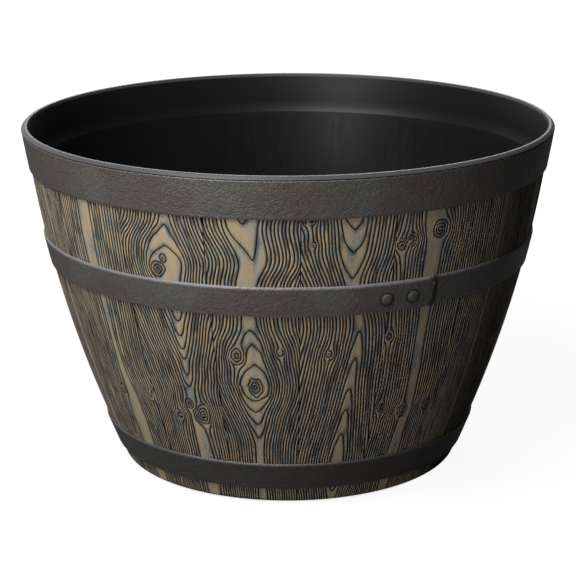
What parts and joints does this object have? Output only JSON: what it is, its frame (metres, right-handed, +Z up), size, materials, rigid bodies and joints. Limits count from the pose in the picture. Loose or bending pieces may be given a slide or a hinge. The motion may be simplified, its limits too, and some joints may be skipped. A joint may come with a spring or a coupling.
{
  "type": "barrel planter",
  "caption": "Half-barrel planter: an inner pot with a rounded lip and raised floor, clad in bowed wood-look staves held by hoops, with a pull-out drain plug.",
  "frame": {"origin": "centre of the base, on the ground", "axes": "+Z up along the planter's axis, -Y is the front that the picture shows, +X to the right from there"},
  "size_m": [0.52, 0.52, 0.338],
  "materials": {
    "pot_plastic": "moulded satin",
    "stave_finish": "moulded wood grain, brushed tan over a dark wash",
    "hoop_finish": "moulded hammered iron look, dark with a brown wash",
    "plug_rubber": "moulded matte"
  },
  "bodies": {
    "planter": {"pot": "pot_plastic", "stave_01": "stave_finish", "stave_02": "stave_finish", "stave_03": "stave_finish", "stave_04": "stave_finish", "stave_05": "stave_finish", "stave_06": "stave_finish", "stave_07": "stave_finish", "stave_08": "stave_finish", "stave_09": "stave_finish", "stave_10": "stave_finish", "stave_11": "stave_finish", "stave_12": "stave_finish", "stave_13": "stave_finish", "stave_14": "stave_finish", "stave_15": "stave_finish", "stave_16": "stave_finish", "stave_17": "stave_finish", "stave_18": "stave_finish", "top_hoop": "hoop_finish", "middle_hoop": "hoop_finish", "bottom_hoop": "hoop_finish", "lap_rivets": "hoop_finish"},
    "plug": {"drain_plug": "plug_rubber"}
  },
  "joints": [
    {"name": "plug_pull", "type": "slide", "parent": "planter", "child": "plug", "axis": [0, 0, 1], "range_m": [0, 0.06]}
  ]
}
